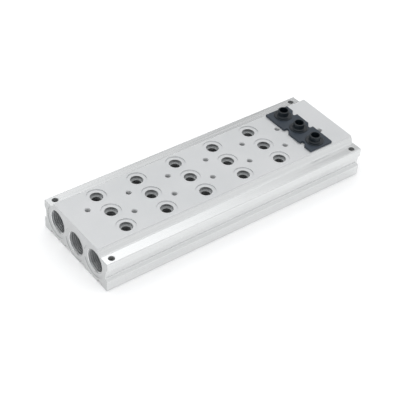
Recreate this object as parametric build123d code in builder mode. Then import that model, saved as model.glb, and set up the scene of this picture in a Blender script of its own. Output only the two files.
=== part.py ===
"""Six-station pneumatic valve manifold rail with one station's nipple carrier fitted.

Frame: X runs along the rail, Y across it, Z up. The origin is the middle of the underside.
All sizes are millimetres.
"""
import os

from build123d import *

# ---- stations ---------------------------------------------------------------------------
STATION_COUNT = 6
STATION_PITCH = 31.0
END_MARGIN = 26.8            # last station to the end face

# ---- extruded section -------------------------------------------------------------------
RAIL_WIDTH = 72.4
RAIL_HEIGHT = 27.0
PLATEAU_WIDTH = 50.0         # the flat seat of the valves
SHOULDER_RUN = 2.5           # how far the shoulder leans out on its way down to the ledge
LEDGE_DROP = 4.5             # plateau down to the mounting ledge
SIDE_GROOVE_TOP = 16.3       # heights of the side groove above the underside
SIDE_GROOVE_FOOT = 9.4
SIDE_GROOVE_LIP = 8.25
SIDE_GROOVE_DEPTH = 1.3      # at the top; the wall leans in towards its foot
SIDE_GROOVE_FOOT_DEPTH = 1.9
PLATEAU_EDGE_RADIUS = 0.6
SHOULDER_COVE_RADIUS = 0.5
LEDGE_EDGE_RADIUS = 0.6
GROOVE_EDGE_RADIUS = 0.2
GROOVE_COVE_RADIUS = 0.6
BASE_EDGE_RADIUS = 1.0
END_EDGE_BREAK = 0.15

# ---- reliefs in the underside, mirrored to both sides -----------------------------------
INNER_RELIEF_START = 5.0     # from the middle plane
INNER_RELIEF_WIDTH = 7.6
MIDDLE_RELIEF_START = 17.5
MIDDLE_RELIEF_WIDTH = 2.4
OUTER_RELIEF_START = 25.3
OUTER_RELIEF_WIDTH = 3.7
WIDE_RELIEF_DEPTH = 2.2
NARROW_RELIEF_DEPTH = 1.3
RELIEF_CORNER_RADIUS = 0.4

# ---- channels and their threaded ends (G 3/8) -------------------------------------------
CHANNEL_DIAMETER = 14.4
THREAD_MINOR = 14.95
THREAD_MAJOR = 16.66
THREAD_DEPTH = 14.0          # spotface to the end of the tapped bore
SIDE_CHANNEL_OFFSET = 21.5   # exhaust channels, from the middle plane
SIDE_CHANNEL_HEIGHT = 14.0
SUPPLY_CHANNEL_HEIGHT = 11.9
SPOTFACE_DIAMETER = 22.4
SPOTFACE_DEPTH = 0.5

# ---- ports in the plateau ---------------------------------------------------------------
SEAT_DIAMETER = 13.5         # shallow seat round each port
SEAT_DEPTH = 0.65
PORT_DIAMETER = 8.5
PORT_DEPTH = 3.5             # plateau down to the ring ledge
THROAT_DIAMETER = 6.4        # ring ledge down into the channel
PORT_EDGE_BREAK = 0.2
PORT_EDGE_LAND = 1.45        # outer seats to the plateau's edge; sets the pitch of the rows

# ---- screw holes ------------------------------------------------------------------------
VALVE_SCREW_DRILL = 3.3      # M4
VALVE_SCREW_SINK = 4.0
VALVE_SCREW_DEPTH = 8.0
VALVE_SCREW_OFFSET = 12.05   # along the rail, from the station's middle
MOUNT_HOLE_DIAMETER = 4.2
MOUNT_HOLE_SINK = 4.6
MOUNT_END_INSET = 5.6        # hole to the end face
MOUNT_SIDE_INSET = 3.85      # hole to the side face
SINK_ANGLE = 90

# ---- nipple carrier plate ---------------------------------------------------------------
CARRIER_WIDTH = 19.4
CARRIER_THICKNESS = 1.6
CARRIER_END_WEB = 0.8        # plate left beyond the outer collars
CARRIER_CORNER_RADIUS = 0.4
NOTCH_WEB = 0.5              # a notch's floor stays this far outside the collars
NOTCH_FLOOR = 1.6
NOTCH_SLANT = 3.1
NOTCH_START = 4.0            # straight edge of the notch beside the middle nipple
NOTCH_CORNER_RADIUS = 0.7
NOTCH_LIP_RADIUS = 0.4
CARRIER_EDGE_BREAK = 0.15

# ---- hollow nipples ---------------------------------------------------------------------
NIPPLE_BORE = 6.1
NIPPLE_NECK_DIAMETER = 7.8
NIPPLE_REACH = 6.2           # tip above the plateau
NIPPLE_TIP_BREAK = 0.25
NIPPLE_ROOT_FLARE = 0.5
COLLAR_STEP = 0.35           # radial, how far the foot flange stands out beyond the collar
COLLAR_RISE = 0.5            # collar above the plate
COLLAR_EDGE_BREAK = 0.2
PLATE_FIT = 0.1              # radial, collar in the plate
SEAT_FIT = 0.1               # radial, foot flange in the seat
SPIGOT_FIT = 0.1             # radial, spigot in the port

# ---- lower seal rings -------------------------------------------------------------------
RING_CORD = 1.0
RING_SQUEEZE = 0.1           # taken off the cord's height
RING_CORNER_BREAK = 0.25
RING_FIT = 0.03              # radial, ring in the port

# ---- selecting edges --------------------------------------------------------------------
MATCH = 0.01                 # how near an edge lies to the size and place it is found by

# ---- derived ----------------------------------------------------------------------------
station_span = (STATION_COUNT - 1) * STATION_PITCH
station_x = [i * STATION_PITCH - station_span / 2 for i in range(STATION_COUNT)]
fitted_x = station_x[-1]     # the station that carries the nipples
rail_length = station_span + 2 * END_MARGIN
ledge_height = RAIL_HEIGHT - LEDGE_DROP
half_width = RAIL_WIDTH / 2
half_plateau = PLATEAU_WIDTH / 2
row_pitch = half_plateau - PORT_EDGE_LAND - SEAT_DIAMETER / 2
channels = [
    (SIDE_CHANNEL_OFFSET, SIDE_CHANNEL_HEIGHT),
    (0, SUPPLY_CHANNEL_HEIGHT),
    (-SIDE_CHANNEL_OFFSET, SIDE_CHANNEL_HEIGHT),
]
port_rows = [
    ("far", row_pitch, SIDE_CHANNEL_HEIGHT),
    ("middle", 0, SUPPLY_CHANNEL_HEIGHT),
    ("near", -row_pitch, SIDE_CHANNEL_HEIGHT),
]
reliefs = [
    (INNER_RELIEF_START, INNER_RELIEF_WIDTH, WIDE_RELIEF_DEPTH),
    (MIDDLE_RELIEF_START, MIDDLE_RELIEF_WIDTH, NARROW_RELIEF_DEPTH),
    (OUTER_RELIEF_START, OUTER_RELIEF_WIDTH, WIDE_RELIEF_DEPTH),
]
ring_height = RING_CORD - RING_SQUEEZE
spigot_end = -PORT_DEPTH + ring_height      # below the plateau
collar_top = CARRIER_THICKNESS + COLLAR_RISE
foot_radius = SEAT_DIAMETER / 2 - SEAT_FIT
collar_radius = foot_radius - COLLAR_STEP
collar_hole = collar_radius + PLATE_FIT
carrier_half_width = CARRIER_WIDTH / 2
carrier_half_length = row_pitch + collar_hole + CARRIER_END_WEB
notch_floor_x = -(collar_hole + NOTCH_WEB)


def on_plateau(points):
    """Places on the plateau, with their drilling direction straight down."""
    return Locations(*[Location((x, y, RAIL_HEIGHT)) for x, y in points])


def rims(part, radius, along, heights):
    """Circular edges of one radius that lie at the given places along an axis."""
    circles = part.edges().filter_by(GeomType.CIRCLE).filter_by(lambda e: abs(e.radius - radius) < MATCH)
    return [e for e in circles if any(abs(along(e.center()) - h) < MATCH for h in heights)]


# ---- the extruded and machined rail -----------------------------------------------------
with BuildPart() as manifold_rail:
    with BuildSketch(Plane.YZ) as section:
        with BuildLine():
            FilletPolyline(
                (0, RAIL_HEIGHT),
                (half_plateau, RAIL_HEIGHT),
                (half_plateau + SHOULDER_RUN, ledge_height),
                (half_width, ledge_height),
                (half_width, SIDE_GROOVE_TOP),
                (half_width - SIDE_GROOVE_DEPTH, SIDE_GROOVE_TOP),
                (half_width - SIDE_GROOVE_FOOT_DEPTH, SIDE_GROOVE_FOOT),
                (half_width, SIDE_GROOVE_LIP),
                (half_width, 0),
                (0, 0),
                radius=[
                    PLATEAU_EDGE_RADIUS,
                    SHOULDER_COVE_RADIUS,
                    LEDGE_EDGE_RADIUS,
                    GROOVE_EDGE_RADIUS,
                    GROOVE_EDGE_RADIUS,
                    GROOVE_COVE_RADIUS,
                    GROOVE_EDGE_RADIUS,
                    BASE_EDGE_RADIUS,
                ],
            )
            Line((0, 0), (0, RAIL_HEIGHT))
        make_face()
        mirror(about=Plane.YZ)
        for start, width, depth in reliefs:
            for side in (1, -1):
                with Locations((side * (start + width / 2), 0)):
                    RectangleRounded(width, 2 * depth, RELIEF_CORNER_RADIUS, mode=Mode.SUBTRACT)
        with Locations(*channels):
            Circle(CHANNEL_DIAMETER / 2, mode=Mode.SUBTRACT)
    extrude(amount=rail_length / 2, both=True)

    end_faces = manifold_rail.faces().filter_by(Axis.X).sort_by(Axis.X)
    outline = end_faces[0].outer_wire().edges() + end_faces[-1].outer_wire().edges()
    chamfer(outline, END_EDGE_BREAK)

    # each channel end has a spotface, a tapped bore and a chamfer out to the thread's full diameter
    for end in (1, -1):
        face = Plane(origin=(end * rail_length / 2, 0, 0), x_dir=(0, 1, 0), z_dir=(end, 0, 0))
        mouth_points = [(y, end * z) for y, z in channels]
        with BuildSketch(face):
            with Locations(*mouth_points):
                Circle(SPOTFACE_DIAMETER / 2)
        extrude(amount=-SPOTFACE_DEPTH, mode=Mode.SUBTRACT)
        with BuildSketch(face):
            with Locations(*mouth_points):
                Circle(THREAD_MINOR / 2)
        extrude(amount=-(SPOTFACE_DEPTH + THREAD_DEPTH), mode=Mode.SUBTRACT)
    mouth_x = rail_length / 2 - SPOTFACE_DEPTH
    mouths = rims(manifold_rail, THREAD_MINOR / 2, lambda c: c.X, (mouth_x, -mouth_x))
    chamfer(mouths, (THREAD_MAJOR - THREAD_MINOR) / 2)

    # stepped ports, open into the channel below them
    for _, row_y, channel_height in port_rows:
        with on_plateau([(x, row_y) for x in station_x]):
            Hole(SEAT_DIAMETER / 2, depth=SEAT_DEPTH)
            CounterBoreHole(
                radius=THROAT_DIAMETER / 2,
                counter_bore_radius=PORT_DIAMETER / 2,
                counter_bore_depth=PORT_DEPTH,
                depth=RAIL_HEIGHT - channel_height,
            )
    port_rims = rims(manifold_rail, PORT_DIAMETER / 2, lambda c: c.Z, (RAIL_HEIGHT - SEAT_DEPTH,))
    chamfer(port_rims, PORT_EDGE_BREAK)

    # two tapped holes a station, diagonally across its middle port
    screw_y = row_pitch / 2
    valve_screws = [(x - VALVE_SCREW_OFFSET, screw_y) for x in station_x]
    valve_screws += [(x + VALVE_SCREW_OFFSET, -screw_y) for x in station_x]
    with on_plateau(valve_screws):
        CounterSinkHole(VALVE_SCREW_DRILL / 2, VALVE_SCREW_SINK / 2, VALVE_SCREW_DEPTH, SINK_ANGLE)

    # four through holes in the ledges
    mount_x = rail_length / 2 - MOUNT_END_INSET
    mount_y = half_width - MOUNT_SIDE_INSET
    with Locations((0, 0, ledge_height)):
        with GridLocations(2 * mount_x, 2 * mount_y, 2, 2):
            CounterSinkHole(MOUNT_HOLE_DIAMETER / 2, MOUNT_HOLE_SINK / 2, ledge_height, SINK_ANGLE)


# ---- carrier plate ----------------------------------------------------------------------
def notched_side(first, pitch):
    """The plate's left side from the far corner to the near one, with its two slanted notches."""
    points = []
    for start in (first, first - pitch):
        points += [
            (-carrier_half_width, start),
            (notch_floor_x, start),
            (notch_floor_x, start - NOTCH_FLOOR),
            (-carrier_half_width, start - NOTCH_FLOOR - NOTCH_SLANT),
        ]
    return points


with BuildPart() as carrier_plate:
    with BuildSketch(Plane(origin=(fitted_x, 0, RAIL_HEIGHT))):
        corners = [(-carrier_half_width, end) for end in (carrier_half_length, -carrier_half_length)]
        side = corners[:1] + notched_side(NOTCH_START, row_pitch) + corners[1:]
        other_side = [(-x, -y) for x, y in side]
        notch_radii = [NOTCH_LIP_RADIUS, NOTCH_CORNER_RADIUS, NOTCH_CORNER_RADIUS, NOTCH_LIP_RADIUS]
        side_radii = [CARRIER_CORNER_RADIUS] + notch_radii * 2 + [CARRIER_CORNER_RADIUS]
        with BuildLine():
            FilletPolyline(*side, *other_side, radius=side_radii * 2, close=True)
        make_face()
        with Locations(*[(0, row_y) for _, row_y, _ in port_rows]):
            Circle(collar_hole, mode=Mode.SUBTRACT)
    extrude(amount=CARRIER_THICKNESS)
    top_edges = carrier_plate.faces().sort_by(Axis.Z)[-1].outer_wire().edges()
    chamfer(top_edges, CARRIER_EDGE_BREAK)


# ---- nipples and their seal rings -------------------------------------------------------
def row_plane(row_y):
    """Upright plane through a port of the fitted station; its origin is on the plateau."""
    return Plane(origin=(fitted_x, row_y, RAIL_HEIGHT), x_dir=(1, 0, 0), z_dir=(0, -1, 0))


def make_nipple(row_y):
    """Turned about the port's axis: spigot, foot flange under the plate, collar and neck."""
    bore = NIPPLE_BORE / 2
    spigot = PORT_DIAMETER / 2 - SPIGOT_FIT
    neck = NIPPLE_NECK_DIAMETER / 2
    with BuildPart() as nipple:
        with BuildSketch(row_plane(row_y)):
            with BuildLine():
                Polyline(
                    (bore, spigot_end),
                    (spigot, spigot_end),
                    (spigot, -SEAT_DEPTH),
                    (foot_radius, -SEAT_DEPTH),
                    (foot_radius, 0),
                    (collar_radius, 0),
                    (collar_radius, collar_top),
                    (neck, collar_top),
                    (neck, NIPPLE_REACH),
                    (bore, NIPPLE_REACH),
                    close=True,
                )
            make_face()
        revolve(axis=Axis((fitted_x, row_y, 0), (0, 0, 1)))

        edge_breaks = [
            (spigot, spigot_end, NIPPLE_TIP_BREAK),
            (collar_radius, collar_top, COLLAR_EDGE_BREAK),
            (neck, collar_top, NIPPLE_ROOT_FLARE),
            (neck, NIPPLE_REACH, NIPPLE_TIP_BREAK),
        ]
        for radius, rise, size in edge_breaks:
            chamfer(rims(nipple, radius, lambda c: c.Z, (RAIL_HEIGHT + rise,)), size)
    return nipple.part


def make_ring(row_y):
    """Seal with blunt corners, pressed slightly flat between the ring ledge and the spigot."""
    ring_radius = PORT_DIAMETER / 2 - RING_FIT - RING_CORD / 2
    with BuildPart() as ring:
        with BuildSketch(row_plane(row_y)) as profile:
            with Locations((ring_radius, -PORT_DEPTH + ring_height / 2)):
                Rectangle(RING_CORD, ring_height)
            chamfer(profile.vertices(), RING_CORNER_BREAK)
        revolve(axis=Axis((fitted_x, row_y, 0), (0, 0, 1)))
    return ring.part


# ---- files ------------------------------------------------------------------------------
pieces = {
    "manifold_rail": manifold_rail.part,
    "carrier_plate": carrier_plate.part,
}
for row_name, row_y, _ in port_rows:
    pieces[f"hollow_nipple_{row_name}"] = make_nipple(row_y)
    pieces[f"seal_ring_{row_name}"] = make_ring(row_y)

os.makedirs("parts", exist_ok=True)
for piece_name, piece in pieces.items():
    piece.label = piece_name
    export_step(piece, f"parts/{piece_name}.step")
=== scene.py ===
"""Looks of the six-station pneumatic valve manifold rail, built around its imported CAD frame."""
import math

import bmesh
import bpy
from mathutils import Matrix, Vector


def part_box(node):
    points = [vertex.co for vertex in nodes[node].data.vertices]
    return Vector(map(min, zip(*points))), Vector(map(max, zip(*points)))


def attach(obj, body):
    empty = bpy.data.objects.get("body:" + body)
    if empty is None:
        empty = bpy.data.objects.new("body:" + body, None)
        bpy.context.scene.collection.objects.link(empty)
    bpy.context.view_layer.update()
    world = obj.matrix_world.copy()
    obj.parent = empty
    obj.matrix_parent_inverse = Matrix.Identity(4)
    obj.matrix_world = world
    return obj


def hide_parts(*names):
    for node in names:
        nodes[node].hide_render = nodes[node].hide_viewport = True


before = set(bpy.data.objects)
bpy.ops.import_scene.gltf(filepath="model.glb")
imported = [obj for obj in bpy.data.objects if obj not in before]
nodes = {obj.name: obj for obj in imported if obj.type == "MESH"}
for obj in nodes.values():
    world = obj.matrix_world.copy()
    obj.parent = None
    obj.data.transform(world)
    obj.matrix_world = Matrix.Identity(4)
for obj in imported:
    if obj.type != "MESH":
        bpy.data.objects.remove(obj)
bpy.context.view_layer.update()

MM = 0.001

# ---- sizes, in millimetres ---------------------------------------------------------------
END_INSET = 0.5              # spotface below the end face
PLATEAU = 27.0
CHANNELS = ((21.5, 14.0), (0.0, 11.9), (-21.5, 14.0))
STATIONS = (-77.5, -46.5, -15.5, 15.5, 46.5, 77.5)
SCREW_OFFSETS = ((-12.05, 8.4), (12.05, -8.4))
MOUNT_HOLES = ((98.7, 32.35), (98.7, -32.35), (-98.7, 32.35), (-98.7, -32.35))
MOUNT_RADIUS = 2.1
GROOVE_REACH = 34.2          # the groove's wall lies at least this far from the middle plane
GROOVE_SPAN = (8.0, 16.0)    # heights between which a mounting hole can meet the groove
NEAR = 0.05                  # how near a vertex lies to the bore it belongs to
WALL_TILT = 0.8              # a bore's wall faces along the bore's axis less than this
THREAD_SLOPE = 1.5           # shape of a thread's flanks, as shares of its pitch and depth
THREAD_CREST = 0.25
RUNOUT_TURNS = 1.5           # turns over which a thread fades out at its end

# ---- where the bore walls get painted shade and their own roughness, and where the rail counts as milled, in metres ---
CHANNEL_ZONE = (0.0301, 0.0224)     # within this of the middle plane and below this height
PORT_ZONE = (0.0236, 0.0260)
BORE_SHADE_REACH = 0.1029                # within this of the middle along the rail
FEET = (0.0024, 0.0026)             # fades in above the feet
LEVEL = (0.8, 0.9)                  # and out on faces that look up, such as the ring ledges
PLATEAU_FADE = (0.0260, 0.0262)     # heights over which drawn faces become the milled plateau
END_FACING = (0.90, 0.99)           # how far a face looks along the rail where it is an end
SOFT_STEP = 0.0001

# ---- light and finish --------------------------------------------------------------------
RAIL_METALLIC = 0.75
DRAWN_DARK = (0.69, 0.70, 0.70)
DRAWN_LIGHT = (0.735, 0.74, 0.74)
MILLED_DARK = (0.625, 0.635, 0.64)
MILLED_LIGHT = (0.665, 0.67, 0.675)
# painted shade: the end faces are darker than the milled plateau, standing in for the lesser light
# that falls on them
END_SHADE_DARK = (0.575, 0.585, 0.585)
END_SHADE_LIGHT = (0.615, 0.62, 0.62)
# painted shade: the walls inside the channels, ports and tapped holes are darkened to stand in for
# the shade in them
BORE_SHADE_DARK = (0.35, 0.36, 0.365)
BORE_SHADE_LIGHT = (0.40, 0.41, 0.415)
DRAWN_ROUGH = 0.15
MILLED_ROUGH = 0.50
BORE_ROUGH = 0.30
CARRIER_DARK = (0.018, 0.028, 0.042)
CARRIER_LIGHT = (0.024, 0.035, 0.050)
CARRIER_ROUGH = 0.45
NIPPLE_DARK = (0.004, 0.008, 0.012)
NIPPLE_LIGHT = (0.007, 0.012, 0.017)
NIPPLE_ROUGH = 0.36
RUBBER_DARK = (0.018, 0.018, 0.019)
RUBBER_LIGHT = (0.04, 0.04, 0.042)
RUBBER_ROUGH = (0.62, 0.78)
MOTTLE = (0.3, 0.7)          # the part of a noise's range that a finish uses
SKY_TOP_FRONT = 0.90
SKY_TOP_BACK = 1.85
SKY_FRONT = 0.94
SKY_BACK = 0.46
BACK_START = 0.1             # how far a direction points back where the front gives way
BACK_END = 0.50
RIM_END = 0.61               # how far it points up where the walls give way to the ceiling
TOP_START = 0.70
OVERHEAD_POWER = 3.0
SKY_TINT = (0.985, 0.992, 1.0)
FLOOR_WHITE = (0.95, 0.95, 0.95)
FLOOR_GLOW = 0.10
FLOOR_HALF = 6.0             # metres
FLOOR_GAP = 0.00002          # metres below the feet


# ---- node helpers ------------------------------------------------------------------------
class Nodes:
    """Short forms for building one material's node tree."""

    def __init__(self, name):
        self.material = bpy.data.materials.new(name)
        self.material.use_nodes = True
        self.tree = self.material.node_tree
        self.shader = self.tree.nodes["Principled BSDF"]
        self.place = self.add("ShaderNodeTexCoord").outputs["Object"]

    def add(self, kind, **settings):
        node = self.tree.nodes.new(kind)
        for key, value in settings.items():
            setattr(node, key, value)
        return node

    def link(self, a, b):
        self.tree.links.new(a, b)

    def scaled(self, scale):
        """Object coordinates stretched by a factor along each axis."""
        node = self.add("ShaderNodeMapping")
        node.inputs["Scale"].default_value = scale
        self.link(self.place, node.inputs["Vector"])
        return node.outputs["Vector"]

    def noise(self, scale, detail=2.0, roughness=0.5, stretch=(1, 1, 1)):
        node = self.add("ShaderNodeTexNoise")
        node.inputs["Scale"].default_value = scale
        node.inputs["Detail"].default_value = detail
        node.inputs["Roughness"].default_value = roughness
        self.link(self.scaled(stretch), node.inputs["Vector"])
        return node.outputs["Fac"]

    def ramp(self, value, low, high, out_low=0.0, out_high=1.0):
        node = self.add("ShaderNodeMapRange", interpolation_type="SMOOTHSTEP")
        node.inputs["From Min"].default_value = low
        node.inputs["From Max"].default_value = high
        node.inputs["To Min"].default_value = out_low
        node.inputs["To Max"].default_value = out_high
        self.link(value, node.inputs["Value"])
        return node.outputs["Result"]

    def mix(self, factor, a, b):
        node = self.add("ShaderNodeMix", data_type="RGBA")
        self.link(factor, node.inputs["Factor"])
        for socket, value in (("A", a), ("B", b)):
            target = [s for s in node.inputs if s.name == socket and s.type == "RGBA"][0]
            if isinstance(value, tuple):
                target.default_value = (*value, 1.0)
            else:
                self.link(value, target)
        return [s for s in node.outputs if s.type == "RGBA"][0]

    def blend(self, factor, full, none):
        """The first colour where the factor is 1, the second where it is 0."""
        return self.mix(factor, none, full)

    def choose(self, factor, full, none):
        """The first number where the factor is 1, the second where it is 0."""
        node = self.add("ShaderNodeMix", data_type="FLOAT")
        self.link(factor, node.inputs["Factor"])
        self.link(none, node.inputs["A"])
        self.link(full, node.inputs["B"])
        return node.outputs["Result"]

    def math(self, operation, a, b=None):
        node = self.add("ShaderNodeMath", operation=operation)
        for index, value in enumerate((a, b)):
            if value is None:
                continue
            if isinstance(value, (int, float)):
                node.inputs[index].default_value = value
            else:
                self.link(value, node.inputs[index])
        return node.outputs[0]

    def below(self, value, limit):
        """1 under a limit and 0 over it, with a soft step."""
        return self.ramp(value, limit - SOFT_STEP, limit + SOFT_STEP, 1.0, 0.0)

    def mottle(self, value, low=0.0, high=1.0):
        """A noise spread between two numbers."""
        return self.ramp(value, *MOTTLE, low, high)

    def inside(self, y, z, zone):
        """1 within a zone's reach of the middle plane and below its height."""
        reach, height = zone
        return self.math("MULTIPLY", self.below(y, reach), self.below(z, height))

    def bore_shade_mask(self, place, facing):
        """1 on the walls of the channels, ports and tapped holes, 0 on other faces; these walls
        get painted shade and their own roughness.
        """
        x = self.math("ABSOLUTE", place.outputs["X"])
        y = self.math("ABSOLUTE", place.outputs["Y"])
        z = place.outputs["Z"]
        low = self.inside(y, z, CHANNEL_ZONE)
        high = self.inside(y, z, PORT_ZONE)
        either = self.math("MAXIMUM", low, high)
        walls = self.math("MULTIPLY", either, self.below(x, BORE_SHADE_REACH))
        walls = self.math("MULTIPLY", walls, self.ramp(z, *FEET))
        upright = self.ramp(facing.outputs["Z"], *LEVEL, 1.0, 0.0)
        return self.math("MULTIPLY", walls, upright)

    def bump(self, height, strength, distance, normal=None):
        node = self.add("ShaderNodeBump")
        node.inputs["Strength"].default_value = strength
        node.inputs["Distance"].default_value = distance
        self.link(height, node.inputs["Height"])
        if normal is not None:
            self.link(normal, node.inputs["Normal"])
        return node.outputs["Normal"]


def anodised_aluminium():
    """Milled plateau and ends, drawn faces with faint die lines along X, and painted shade that
    makes the ends and the bore walls darker.
    """
    n = Nodes("rail_anodised")
    lines = n.noise(1500.0, detail=3.0, roughness=0.6, stretch=(0.012, 1.0, 1.0))
    grain = n.noise(3800.0, detail=2.0, roughness=0.6)
    cloud = n.noise(22.0, detail=3.0, roughness=0.55)
    split = n.add("ShaderNodeSeparateXYZ")
    n.link(n.place, split.inputs["Vector"])
    facing = n.add("ShaderNodeSeparateXYZ")
    n.link(n.add("ShaderNodeNewGeometry").outputs["True Normal"], facing.inputs["Vector"])
    plateau = n.ramp(split.outputs["Z"], *PLATEAU_FADE)
    end = n.ramp(n.math("ABSOLUTE", facing.outputs["X"]), *END_FACING)
    milled = n.math("MAXIMUM", plateau, end)
    patches = n.mottle(cloud)
    # painted shade: faces that look along the rail get the darker end tone, standing in for the
    # shade on the ends
    end_shade_colour = n.mix(patches, END_SHADE_DARK, END_SHADE_LIGHT)
    milled_colour = n.mix(patches, MILLED_DARK, MILLED_LIGHT)
    flat = n.blend(end, end_shade_colour, milled_colour)
    drawn = n.mix(n.mottle(lines), DRAWN_DARK, DRAWN_LIGHT)
    bore_shade_mask = n.bore_shade_mask(split, facing)
    outside = n.blend(milled, flat, drawn)
    # painted shade: a darker tone on the bore walls stands in for the shade inside the bores
    bore_shade_colour = n.mix(n.mottle(grain), BORE_SHADE_DARK, BORE_SHADE_LIGHT)
    n.link(n.blend(bore_shade_mask, bore_shade_colour, outside), n.shader.inputs["Base Color"])
    n.shader.inputs["Metallic"].default_value = RAIL_METALLIC
    rough_drawn = n.mottle(lines, DRAWN_ROUGH, DRAWN_ROUGH + 0.06)
    rough_milled = n.mottle(grain, MILLED_ROUGH, MILLED_ROUGH + 0.1)
    rough_bored = n.mottle(grain, BORE_ROUGH, BORE_ROUGH + 0.1)
    rough = n.choose(milled, rough_milled, rough_drawn)
    n.link(n.choose(bore_shade_mask, rough_bored, rough), n.shader.inputs["Roughness"])
    surface = n.bump(grain, strength=0.10, distance=0.00003)
    surface = n.bump(lines, strength=0.10, distance=0.00002, normal=surface)
    n.link(surface, n.shader.inputs["Normal"])
    return n.material


def moulded_plastic(name, dark, light, roughness):
    """Black glass-filled plastic with a fine moulded grain and slightly uneven gloss."""
    n = Nodes(name)
    grain = n.noise(2600.0, detail=3.0, roughness=0.6)
    flow = n.noise(160.0, detail=3.0, roughness=0.55)
    n.link(n.mix(n.mottle(flow), dark, light), n.shader.inputs["Base Color"])
    gloss = n.mottle(flow, roughness - 0.05, roughness + 0.05)
    n.link(gloss, n.shader.inputs["Roughness"])
    n.shader.inputs["Specular IOR Level"].default_value = 0.5
    n.link(n.bump(grain, strength=0.25, distance=0.00004), n.shader.inputs["Normal"])
    return n.material


def seal_rubber():
    """Dull nitrile rubber with a fine bloom."""
    n = Nodes("seal_rubber")
    bloom = n.noise(700.0, detail=4.0, roughness=0.6)
    colour = n.mix(n.ramp(bloom, 0.35, 0.7), RUBBER_DARK, RUBBER_LIGHT)
    n.link(colour, n.shader.inputs["Base Color"])
    n.link(n.mottle(bloom, *RUBBER_ROUGH), n.shader.inputs["Roughness"])
    n.link(n.bump(bloom, strength=0.2, distance=0.00005), n.shader.inputs["Normal"])
    return n.material


def set_material(obj, material):
    """One material in every slot the object has."""
    if not obj.data.materials:
        obj.data.materials.append(material)
    for index in range(len(obj.data.materials)):
        obj.data.materials[index] = material


# ---- threads -----------------------------------------------------------------------------
class Thread:
    """A right-hand internal thread: minor and major radius, pitch and length below its mouth."""

    def __init__(self, minor, major, pitch, length, columns, rows_per_turn):
        self.minor, self.major, self.pitch, self.length = minor, major, pitch, length
        self.columns, self.rows_per_turn = columns, rows_per_turn

    def chamfer(self, depth):
        """Radius of the 45 degree chamfer at the mouth, down to the smooth bore."""
        return max(self.minor, self.major - depth)

    def radius(self, depth, angle):
        turn = (depth / self.pitch + angle / math.tau) % 1.0
        flank = 1.0 - abs(2.0 * turn - 1.0)
        groove = min(max(THREAD_SLOPE * flank - THREAD_CREST, 0.0), 1.0)
        runout = min(1.0, (self.length - depth) / (RUNOUT_TURNS * self.pitch))
        cut = self.minor + (self.major - self.minor) * groove * runout
        return max(cut, self.chamfer(depth))


PIPE_THREAD = Thread(minor=14.95 / 2, major=16.66 / 2, pitch=1.337, length=14.0,
                     columns=88, rows_per_turn=8)
SCREW_THREAD = Thread(minor=3.3 / 2, major=4.0 / 2, pitch=0.7, length=8.0,
                      columns=28, rows_per_turn=6)


def stitch(bm, upper, lower):
    """Triangles between two rings of vertices, each a list of (angle, vertex) by angle."""
    def after(ring, index):
        turn = math.tau if index + 1 >= len(ring) else 0.0
        return ring[(index + 1) % len(ring)][0] + turn

    i = j = 0
    while i < len(upper) or j < len(lower):
        top, bottom = upper[i % len(upper)][1], lower[j % len(lower)][1]
        if j >= len(lower) or (i < len(upper) and after(upper, i) <= after(lower, j)):
            corners = (top, upper[(i + 1) % len(upper)][1], bottom)
            i += 1
        else:
            corners = (top, lower[(j + 1) % len(lower)][1], bottom)
            j += 1
        bm.faces.new(corners).smooth = True


def cut_thread(bm, mouth, out, thread):
    """Put a thread in place of one smooth bore, closed onto the faces at its mouth and its end."""
    mouth, axis = Vector(mouth), Vector(out)
    side = Vector((axis.y, axis.z, axis.x))
    other = axis.cross(side)

    def polar(point):
        """Depth below the mouth, distance from the axis and angle round it."""
        away = point / MM - mouth
        x, y = away.dot(side), away.dot(other)
        return -away.dot(axis), math.hypot(x, y), math.atan2(y, x)

    def on_bore(vertex):
        depth, radius, _ = polar(vertex.co)
        beside = abs(radius - thread.chamfer(depth)) < NEAR
        return beside and -NEAR < depth < thread.length + NEAR

    def rim(depth, radius):
        """New vertices at the places of the ring that the neighbouring face ends on."""
        places = {}
        for vertex in bm.verts:
            d, r, angle = polar(vertex.co)
            if abs(d - depth) < NEAR and abs(r - radius) < NEAR:
                places.setdefault(round(angle, 4), vertex.co.copy())
        return [(angle, bm.verts.new(places[angle])) for angle in sorted(places)]

    wall = [face for face in bm.faces
            if abs(face.normal.dot(axis)) < WALL_TILT and all(map(on_bore, face.verts))]
    bmesh.ops.delete(bm, geom=wall, context="FACES")
    top = rim(0.0, thread.major)
    bottom = rim(thread.length, thread.minor)
    count = round(thread.length / thread.pitch * thread.rows_per_turn)
    rings = []
    for row in range(1, count):
        depth = thread.length * row / count
        ring = []
        for column in range(thread.columns):
            angle = math.tau * column / thread.columns - math.pi
            reach = side * math.cos(angle) + other * math.sin(angle)
            place = mouth - axis * depth + reach * thread.radius(depth, angle)
            ring.append((angle, bm.verts.new(place * MM)))
        rings.append(ring)
    stitch(bm, top, rings[0])
    for upper, lower in zip(rings, rings[1:]):
        for column in range(thread.columns):
            after = (column + 1) % thread.columns
            corners = (upper[column][1], upper[after][1], lower[after][1], lower[column][1])
            bm.faces.new(corners).smooth = True
    stitch(bm, rings[-1], bottom)


def close_slit(bm, x, y):
    """Give the groove its whole wall back where a mounting hole just grazes it."""
    rim = {}
    for vertex in bm.verts:
        place = vertex.co / MM
        grazes = abs(math.hypot(place.x - x, place.y - y) - MOUNT_RADIUS) < NEAR
        in_groove = GROOVE_SPAN[0] < place.z < GROOVE_SPAN[1]
        if grazes and in_groove and abs(place.y) > GROOVE_REACH:
            rim.setdefault((round(place.x, 3), round(place.z, 3)), vertex.co.copy())
    if len(rim) < 3:
        return
    centre = sum(rim.values(), Vector()) / len(rim)

    def round_centre(co):
        return math.atan2(co.z - centre.z, co.x - centre.x)

    order = sorted(rim.values(), key=round_centre, reverse=y > 0)
    bm.faces.new([bm.verts.new(co) for co in order])


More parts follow.
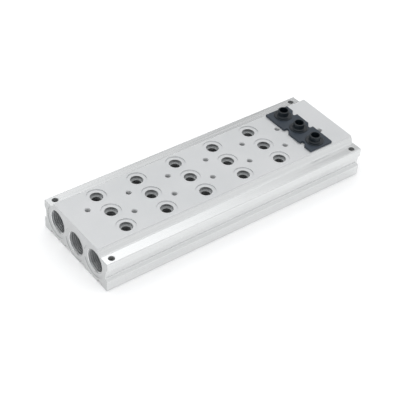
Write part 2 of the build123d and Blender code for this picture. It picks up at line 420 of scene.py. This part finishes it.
def threaded_rail(node):
    """The rail with its pipe threads and valve screw threads cut."""
    mesh = node.data.copy()
    bm = bmesh.new()
    bm.from_mesh(mesh)
    mouth_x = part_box("manifold_rail")[1][0] / MM - END_INSET
    for end in (1, -1):
        for y, z in CHANNELS:
            cut_thread(bm, (end * mouth_x, y, z), (end, 0, 0), PIPE_THREAD)
    for x in STATIONS:
        for along, across in SCREW_OFFSETS:
            cut_thread(bm, (x + along, across, PLATEAU), (0, 0, 1), SCREW_THREAD)
    for x, y in MOUNT_HOLES:
        close_slit(bm, x, y)
    bm.to_mesh(mesh)
    bm.free()
    rail = bpy.data.objects.new("threaded_rail", mesh)
    bpy.context.scene.collection.objects.link(rail)
    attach(rail, "root")
    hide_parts("manifold_rail")
    return rail


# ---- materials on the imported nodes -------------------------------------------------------
aluminium = anodised_aluminium()
carrier_black = moulded_plastic("carrier_plastic", CARRIER_DARK, CARRIER_LIGHT, CARRIER_ROUGH)
nipple_black = moulded_plastic("nipple_plastic", NIPPLE_DARK, NIPPLE_LIGHT, NIPPLE_ROUGH)
rubber = seal_rubber()
set_material(nodes["manifold_rail"], aluminium)
set_material(threaded_rail(nodes["manifold_rail"]), aluminium)
set_material(nodes["carrier_plate"], carrier_black)
for row in ("far", "middle", "near"):
    set_material(nodes[f"hollow_nipple_{row}"], nipple_black)
    set_material(nodes[f"seal_ring_{row}"], rubber)


# ---- floor, light and camera -------------------------------------------------------------
def make_floor():
    """A wide pale floor under the feet."""
    mesh = bpy.data.meshes.new("floor")
    signs = ((-1, -1), (1, -1), (1, 1), (-1, 1))
    corners = [(FLOOR_HALF * x, FLOOR_HALF * y, 0) for x, y in signs]
    mesh.from_pydata(corners, [], [(0, 1, 2, 3)])
    floor = bpy.data.objects.new("floor", mesh)
    bpy.context.scene.collection.objects.link(floor)
    floor.location.z = -FLOOR_GAP
    material = bpy.data.materials.new("floor_white")
    material.use_nodes = True
    shader = material.node_tree.nodes["Principled BSDF"]
    shader.inputs["Base Color"].default_value = (*FLOOR_WHITE, 1)
    shader.inputs["Roughness"].default_value = 0.9
    shader.inputs["Specular IOR Level"].default_value = 0.1
    shader.inputs["Emission Color"].default_value = (1, 1, 1, 1)
    shader.inputs["Emission Strength"].default_value = FLOOR_GLOW
    mesh.materials.append(material)


def area_light(name, place, target, size, power):
    light = bpy.data.lights.new(name, "AREA")
    light.shape = "RECTANGLE"
    light.size, light.size_y = size
    light.energy = power
    obj = bpy.data.objects.new(name, light)
    obj.location = place
    aim = Vector(target) - Vector(place)
    obj.rotation_euler = aim.to_track_quat("-Z", "Y").to_euler()
    bpy.context.scene.collection.objects.link(obj)


def make_world():
    """Studio surround: a ceiling brighter towards the back, over a wall dimmer there."""
    world = bpy.data.worlds.new("studio")
    world.use_nodes = True
    tree = world.node_tree
    background = tree.nodes["Background"]
    split = tree.nodes.new("ShaderNodeSeparateXYZ")
    direction = tree.nodes.new("ShaderNodeTexCoord").outputs["Generated"]
    tree.links.new(direction, split.inputs["Vector"])

    def rise(value, start, end, low, high):
        node = tree.nodes.new("ShaderNodeMapRange")
        node.interpolation_type = "SMOOTHSTEP"
        tree.links.new(value, node.inputs["Value"])
        settings = (("From Min", start), ("From Max", end), ("To Min", low), ("To Max", high))
        for name, setting in settings:
            if isinstance(setting, float):
                node.inputs[name].default_value = setting
            else:
                tree.links.new(setting, node.inputs[name])
        return node.outputs["Result"]

    rim = rise(split.outputs["Y"], BACK_START, BACK_END, SKY_FRONT, SKY_BACK)
    top = rise(split.outputs["Y"], BACK_START, BACK_END, SKY_TOP_FRONT, SKY_TOP_BACK)
    strength = rise(split.outputs["Z"], RIM_END, TOP_START, rim, top)
    background.inputs["Color"].default_value = (*SKY_TINT, 1)
    tree.links.new(strength, background.inputs["Strength"])
    bpy.context.scene.world = world


def make_camera():
    """Long lens, from the near left and above, turned a little clockwise."""
    right = Vector((0.79803, -0.59988, 0.05699))
    up = Vector((0.35662, 0.54642, 0.75780))
    back = Vector((-0.48573, -0.58444, 0.65000))
    place = Vector((-387.05, -458.64, 512.06)) * MM
    data = bpy.data.cameras.new("camera")
    data.lens = 105.3
    data.sensor_width = 36.0
    camera = bpy.data.objects.new("camera", data)
    axes = Matrix((right, up, back)).transposed()
    camera.matrix_world = Matrix.Translation(place) @ axes.to_4x4()
    bpy.context.scene.collection.objects.link(camera)
    bpy.context.scene.camera = camera


make_floor()
make_world()
area_light("overhead", (-0.15, -0.25, 1.5), (0, 0, 0), (1.0, 1.0), OVERHEAD_POWER)
make_camera()
bpy.context.scene.view_settings.view_transform = "Standard"
